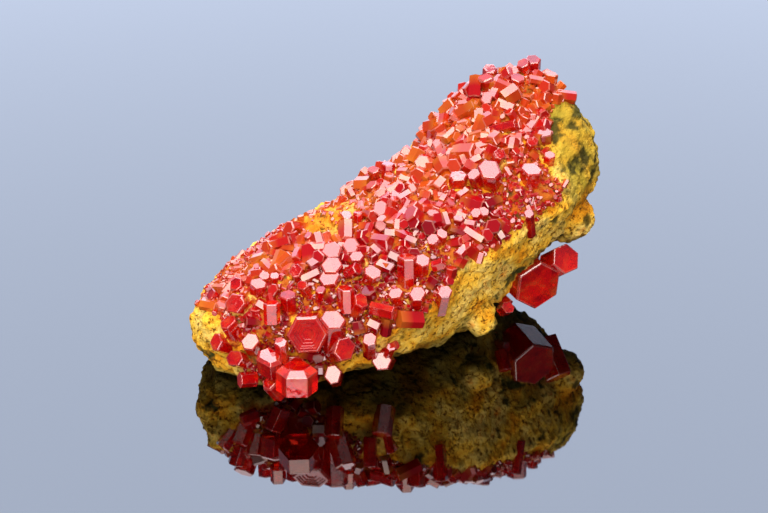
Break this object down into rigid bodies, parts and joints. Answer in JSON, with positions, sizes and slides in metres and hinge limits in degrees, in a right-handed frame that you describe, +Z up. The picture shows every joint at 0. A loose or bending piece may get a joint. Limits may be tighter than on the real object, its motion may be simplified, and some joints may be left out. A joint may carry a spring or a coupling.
{
  "type": "vanadinite on matrix",
  "caption": "Mineral specimen that rests on its own flat facet: red hexagonal crystals and a crust of small ones on a lump of ochre rock.",
  "frame": {"origin": "middle of the specimen's bounding box, at the level of the surface that it rests on", "axes": "+X along the specimen towards its tall end, +Z up, -Y towards the face with the large crystals"},
  "size_m": [0.0599, 0.0355, 0.0345],
  "materials": {
    "ochre_rock": "rough, granular, pitted limonite",
    "small_vanadinite": "glossy small crystals, orange-red",
    "large_vanadinite": "glossy, see-through deep red crystal"
  },
  "bodies": {
    "root": {"matrix": "ochre_rock", "druse_crust": "small_vanadinite", "front_barrel_group": "large_vanadinite", "barrel_foot_crystal": "large_vanadinite", "low_left_tablet": "large_vanadinite", "dark_left_crystal": "large_vanadinite", "left_end_crystal": "large_vanadinite", "rosette_cluster": "large_vanadinite", "rosette_foot_plate": "large_vanadinite", "glassy_block": "large_vanadinite", "glassy_side_prism": "large_vanadinite", "white_top_prism": "large_vanadinite", "tall_prism": "large_vanadinite", "dark_block": "large_vanadinite", "slanting_prism": "large_vanadinite", "white_topped_prism": "large_vanadinite", "white_plate_pair": "large_vanadinite", "orange_cube": "large_vanadinite", "white_square_crystal": "large_vanadinite", "white_hexagon": "large_vanadinite", "small_white_pair": "large_vanadinite", "purple_pair": "large_vanadinite", "long_slanting_crystal": "large_vanadinite", "curved_crystal": "large_vanadinite", "dark_hexagon": "large_vanadinite", "lower_edge_group": "large_vanadinite", "left_top_crystal": "large_vanadinite", "sunken_crystal": "large_vanadinite", "crest_step_crystal": "large_vanadinite", "crest_step_block": "large_vanadinite", "shoulder_block": "large_vanadinite", "lilac_group": "large_vanadinite", "deep_red_hexagon": "large_vanadinite", "lilac_ledge_crystal": "large_vanadinite", "ledge_edge_crystal": "large_vanadinite", "long_white_crystal": "large_vanadinite", "white_face_pair": "large_vanadinite", "square_face_pair": "large_vanadinite", "pink_bar": "large_vanadinite", "bright_red_pair": "large_vanadinite", "tall_white_crystal": "large_vanadinite", "white_wedge_crystal": "large_vanadinite", "brow_white_crystal": "large_vanadinite", "lilac_block": "large_vanadinite", "mound_pair": "large_vanadinite", "crest_white_crystal": "large_vanadinite", "crest_top_pair": "large_vanadinite", "crest_block": "large_vanadinite", "salmon_blade": "large_vanadinite", "underside_plate_pair": "large_vanadinite", "underside_pink_crystal": "large_vanadinite", "underside_pink_prism": "large_vanadinite"}
  },
  "joints": []
}
